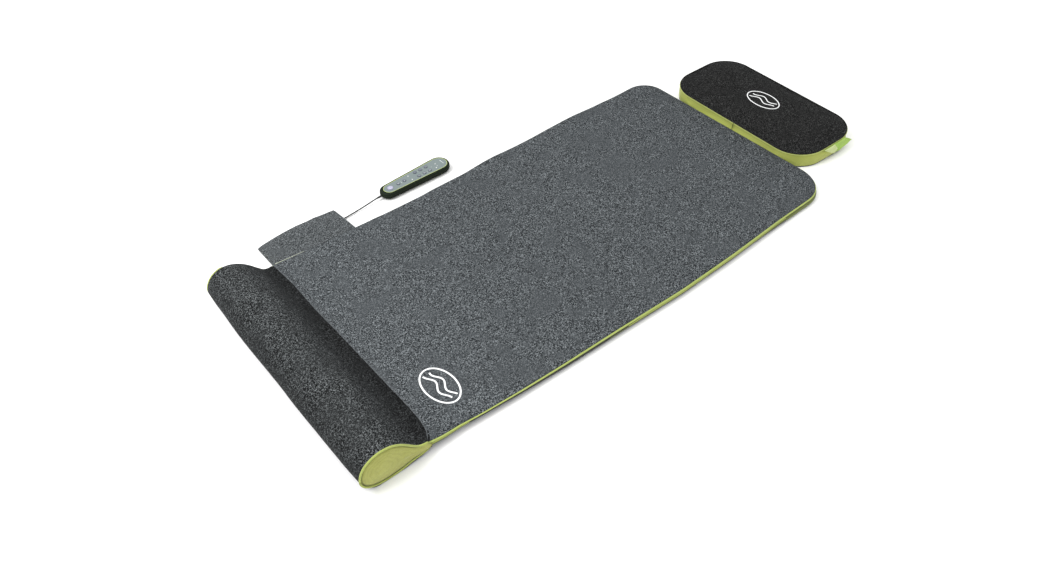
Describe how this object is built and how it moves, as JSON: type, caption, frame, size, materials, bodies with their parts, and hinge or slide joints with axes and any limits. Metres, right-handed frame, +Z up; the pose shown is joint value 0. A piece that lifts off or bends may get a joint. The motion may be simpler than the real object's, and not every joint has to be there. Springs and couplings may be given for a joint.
{
  "type": "air massage stretching mat",
  "caption": "Padded floor mat with air cells under its top, a pump roll across the foot, a side pocket with a corded hand control, and a loose head pillow.",
  "frame": {"origin": "on the underside of the padded panel, at the middle of its length and width", "axes": "+X along the mat towards the head, +Y towards the pocket and hand control, +Z up"},
  "size_m": [1.398, 0.6511, 0.082],
  "materials": {
    "grey_knit": "heathered jersey knit laminated to thin foam",
    "dark_knit": "heathered charcoal knit",
    "lime_fabric": "plain woven lime fabric, piped seams",
    "underside": "non-slip coated fabric",
    "foam": "open-cell polyurethane foam",
    "cell_film": "welded TPU film, matte",
    "hose": "soft PVC hose",
    "housing": "moulded ABS, fine texture",
    "steel": "plain steel",
    "board": "solder-masked circuit board",
    "black_plastic": "satin black moulding",
    "cord": "satin PVC sheath",
    "handset_body": "satin green-black moulding",
    "handset_face": "satin grey printed panel",
    "handset_inlay": "lime trim line",
    "led_lens": "clear-white light pipe",
    "power_button": "pale lavender cap",
    "button_dark": "dark soft-touch cap"
  },
  "bodies": {
    "mat_base": {"foot_top_panel": "grey_knit", "foot_side_band": "lime_fabric", "foot_bottom_panel": "underside", "foot_foam": "foam", "hip_left_cell": "cell_film", "hip_right_cell": "cell_film", "lumbar_cell": "cell_film", "foot_hoses": "hose", "bolster_cover": "dark_knit", "bolster_foam": "foam", "left_end_cap": "lime_fabric", "right_end_cap": "lime_fabric", "pump_case_lower": "housing", "pump_case_upper": "housing", "pump_motor": "steel", "pump_head": "housing", "valve_bank": "housing", "control_board": "board", "dc_jack": "black_plastic", "side_pocket": "grey_knit", "cord_grommet": "black_plastic", "cord_coil": "cord", "handset_cord": "cord", "handset_lower_shell": "handset_body", "handset_upper_shell": "handset_body", "handset_face": "handset_face", "handset_inlay": "handset_inlay", "handset_board": "board", "handset_leds": "led_lens", "handset_screws": "steel", "handset_strain_relief": "black_plastic"},
    "head_section": {"head_top_panel": "grey_knit", "head_side_band": "lime_fabric", "head_bottom_panel": "underside", "head_foam": "foam", "shoulder_left_cell": "cell_film", "shoulder_right_cell": "cell_film", "upper_back_cell": "cell_film", "head_hoses": "hose"},
    "hip_left_bulge": {"hip_left_patch": "grey_knit"},
    "hip_right_bulge": {"hip_right_patch": "grey_knit"},
    "lumbar_bulge": {"lumbar_patch": "grey_knit"},
    "shoulder_left_bulge": {"shoulder_left_patch": "grey_knit"},
    "shoulder_right_bulge": {"shoulder_right_patch": "grey_knit"},
    "upper_back_bulge": {"upper_back_patch": "grey_knit"},
    "pillow": {"pillow_top": "dark_knit", "pillow_band": "lime_fabric", "pillow_bottom": "underside", "pillow_core": "foam", "pillow_strap": "lime_fabric"},
    "power_button_cap": {"power_button": "power_button"},
    "warmth_button_cap": {"warmth_button": "button_dark"},
    "level_button_cap": {"level_button": "button_dark"},
    "program_button_1_cap": {"program_button_1": "button_dark"},
    "program_button_2_cap": {"program_button_2": "button_dark"},
    "program_button_3_cap": {"program_button_3": "button_dark"},
    "program_button_4_cap": {"program_button_4": "button_dark"},
    "program_button_5_cap": {"program_button_5": "button_dark"},
    "program_button_6_cap": {"program_button_6": "button_dark"},
    "rotor": {"pump_rotor": "steel"}
  },
  "joints": [
    {"name": "cell_hip_left_inflate", "type": "slide", "parent": "mat_base", "child": "hip_left_bulge", "axis": [0, 0, 1], "range_m": [0, 0.045], "deforming": ["hip_left_cell"]},
    {"name": "cell_hip_right_inflate", "type": "slide", "parent": "mat_base", "child": "hip_right_bulge", "axis": [0, 0, 1], "range_m": [0, 0.045], "deforming": ["hip_right_cell"]},
    {"name": "cell_lumbar_inflate", "type": "slide", "parent": "mat_base", "child": "lumbar_bulge", "axis": [0, 0, 1], "range_m": [0, 0.045], "deforming": ["lumbar_cell"]},
    {"name": "cell_shoulder_left_inflate", "type": "slide", "parent": "head_section", "child": "shoulder_left_bulge", "axis": [0, 0, 1], "range_m": [0, 0.045], "deforming": ["shoulder_left_cell"]},
    {"name": "cell_shoulder_right_inflate", "type": "slide", "parent": "head_section", "child": "shoulder_right_bulge", "axis": [0, 0, 1], "range_m": [0, 0.045], "deforming": ["shoulder_right_cell"]},
    {"name": "cell_upper_back_inflate", "type": "slide", "parent": "head_section", "child": "upper_back_bulge", "axis": [0, 0, 1], "range_m": [0, 0.045], "deforming": ["upper_back_cell"]},
    {"name": "mat_fold", "type": "hinge", "parent": "mat_base", "child": "head_section", "pos_m": [0.075, 0, 0.0225], "axis": [0, 1, 0], "range_deg": [-176, 0]},
    {"name": "pillow_shift", "type": "slide", "parent": "mat_base", "child": "pillow", "axis": [1, 0, 0], "range_m": [0, 0.12]},
    {"name": "press_power_button", "type": "slide", "parent": "mat_base", "child": "power_button_cap", "axis": [0, 0, -1], "range_m": [0, 0.0006], "stiffness_N_per_m": 400, "springref_m": -0.0008},
    {"name": "press_warmth_button", "type": "slide", "parent": "mat_base", "child": "warmth_button_cap", "axis": [0, 0, -1], "range_m": [0, 0.0006], "stiffness_N_per_m": 400, "springref_m": -0.0008},
    {"name": "press_level_button", "type": "slide", "parent": "mat_base", "child": "level_button_cap", "axis": [0, 0, -1], "range_m": [0, 0.0006], "stiffness_N_per_m": 400, "springref_m": -0.0008},
    {"name": "press_program_button_1", "type": "slide", "parent": "mat_base", "child": "program_button_1_cap", "axis": [0, 0, -1], "range_m": [0, 0.0006], "stiffness_N_per_m": 400, "springref_m": -0.0008},
    {"name": "press_program_button_2", "type": "slide", "parent": "mat_base", "child": "program_button_2_cap", "axis": [0, 0, -1], "range_m": [0, 0.0006], "stiffness_N_per_m": 400, "springref_m": -0.0008},
    {"name": "press_program_button_3", "type": "slide", "parent": "mat_base", "child": "program_button_3_cap", "axis": [0, 0, -1], "range_m": [0, 0.0006], "stiffness_N_per_m": 400, "springref_m": -0.0008},
    {"name": "press_program_button_4", "type": "slide", "parent": "mat_base", "child": "program_button_4_cap", "axis": [0, 0, -1], "range_m": [0, 0.0006], "stiffness_N_per_m": 400, "springref_m": -0.0008},
    {"name": "press_program_button_5", "type": "slide", "parent": "mat_base", "child": "program_button_5_cap", "axis": [0, 0, -1], "range_m": [0, 0.0006], "stiffness_N_per_m": 400, "springref_m": -0.0008},
    {"name": "press_program_button_6", "type": "slide", "parent": "mat_base", "child": "program_button_6_cap", "axis": [0, 0, -1], "range_m": [0, 0.0006], "stiffness_N_per_m": 400, "springref_m": -0.0008},
    {"name": "pump_spin", "type": "hinge", "parent": "mat_base", "child": "rotor", "pos_m": [-0.625, -0.1, 0.041], "axis": [0, 1, 0], "continuous": true}
  ]
}
